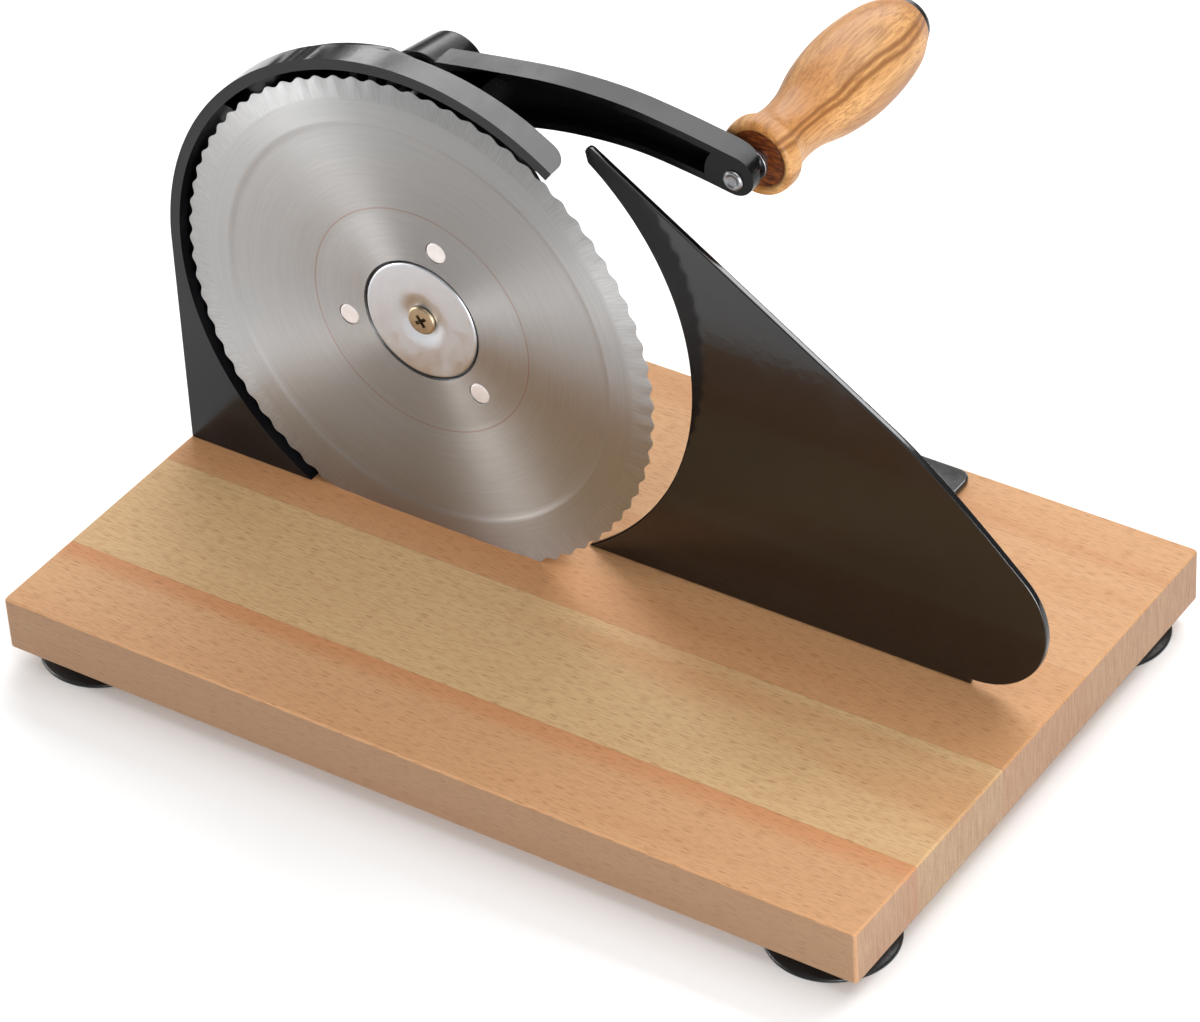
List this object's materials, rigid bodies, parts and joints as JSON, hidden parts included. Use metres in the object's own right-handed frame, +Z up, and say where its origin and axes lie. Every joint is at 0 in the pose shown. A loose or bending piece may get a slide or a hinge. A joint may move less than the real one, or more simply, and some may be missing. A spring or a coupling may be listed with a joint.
{
  "type": "hand-cranked bread slicer",
  "caption": "Bread slicer on a wooden board: round wave-edge blade in a cast guard, geared side crank with a turned grip, sliding stop plate, suction feet.",
  "frame": {"origin": "centre of the bounding box in plan, on the surface that the suction feet stand on", "axes": "+X to the right along the board's long edge, +Y to the rear along the blade's axis, +Z up"},
  "size_m": [0.34, 0.246, 0.2138],
  "materials": {
    "board_wood": "oiled beech, planed and edge glued",
    "grip_wood": "turned wood, clear varnish",
    "black_enamel": "gloss black enamel on cast and sheet metal, slight orange peel",
    "blade_steel": "stainless steel, fine circular brushing",
    "gear_steel": "sintered steel, greased",
    "plain_steel": "turned steel",
    "zinc_plate": "bright zinc plate",
    "bronze": "sintered bronze",
    "rubber": "moulded black rubber",
    "black_plastic": "moulded black plastic, fine grain"
  },
  "bodies": {
    "base": {"base_board": "board_wood", "suction_foot_1": "rubber", "suction_foot_2": "rubber", "suction_foot_3": "rubber", "suction_foot_4": "rubber", "foot_screw_1": "zinc_plate", "foot_screw_2": "zinc_plate", "foot_screw_3": "zinc_plate", "foot_screw_4": "zinc_plate", "front_frame": "black_enamel", "back_wall": "black_enamel", "wall_screw_1": "zinc_plate", "wall_screw_2": "zinc_plate", "wall_screw_3": "zinc_plate", "wall_screw_4": "zinc_plate", "frame_screw_1": "zinc_plate", "frame_screw_2": "zinc_plate", "frame_screw_3": "zinc_plate", "frame_screw_4": "zinc_plate", "gear_cover": "black_enamel", "axle_flange": "plain_steel", "crank_bearing": "plain_steel", "axle_flange_screw_1": "zinc_plate", "axle_flange_screw_2": "zinc_plate", "axle_flange_screw_3": "zinc_plate", "bearing_screw_1": "zinc_plate", "bearing_screw_2": "zinc_plate", "bearing_screw_3": "zinc_plate", "thrust_washer": "plain_steel", "blade_axle": "plain_steel", "retaining_disc": "blade_steel", "blade_screw": "zinc_plate", "crank_bush": "bronze", "guide_screw_1": "zinc_plate", "guide_screw_2": "zinc_plate", "clamp_insert": "bronze", "clamp_stud": "zinc_plate", "clamp_washer": "zinc_plate"},
    "blade_unit": {"blade": "blade_steel", "blade_gear": "gear_steel", "blade_rivet_1": "zinc_plate", "blade_rivet_2": "zinc_plate", "blade_rivet_3": "zinc_plate", "gear_bush": "bronze"},
    "crank": {"crank_shaft": "plain_steel", "drive_pinion": "gear_steel", "crank_arm": "black_enamel", "crank_screw": "zinc_plate", "handle_axle": "plain_steel", "handle_washer": "plain_steel"},
    "grip": {"handle_grip": "grip_wood", "handle_cap": "black_plastic"},
    "stop": {"stop_plate": "black_enamel"},
    "knob": {"clamp_knob": "black_plastic"}
  },
  "joints": [
    {"name": "blade_spin", "type": "hinge", "parent": "base", "child": "blade_unit", "pos_m": [-0.0656, -0.011, 0.1118], "axis": [0, 1, 0], "continuous": true},
    {"name": "crank_spin", "type": "hinge", "parent": "base", "child": "crank", "pos_m": [-0.07604, 0.017, 0.18607], "axis": [0, 1, 0], "continuous": true},
    {"name": "grip_spin", "type": "hinge", "parent": "crank", "child": "grip", "pos_m": [0.0461, 0.067, 0.1905], "axis": [0, 1, 0], "continuous": true},
    {"name": "plate_slide", "type": "slide", "parent": "base", "child": "stop", "axis": [0, 1, 0], "range_m": [-0.016, 0.002]},
    {"name": "knob_turn", "type": "hinge", "parent": "base", "child": "knob", "pos_m": [0.056, 0.057, 0.038], "axis": [0, 0, 1], "range_deg": [0, 180]}
  ],
  "couplings": [
    {"joint": "crank_spin", "follows": "blade_spin", "ratio": -3}
  ]
}
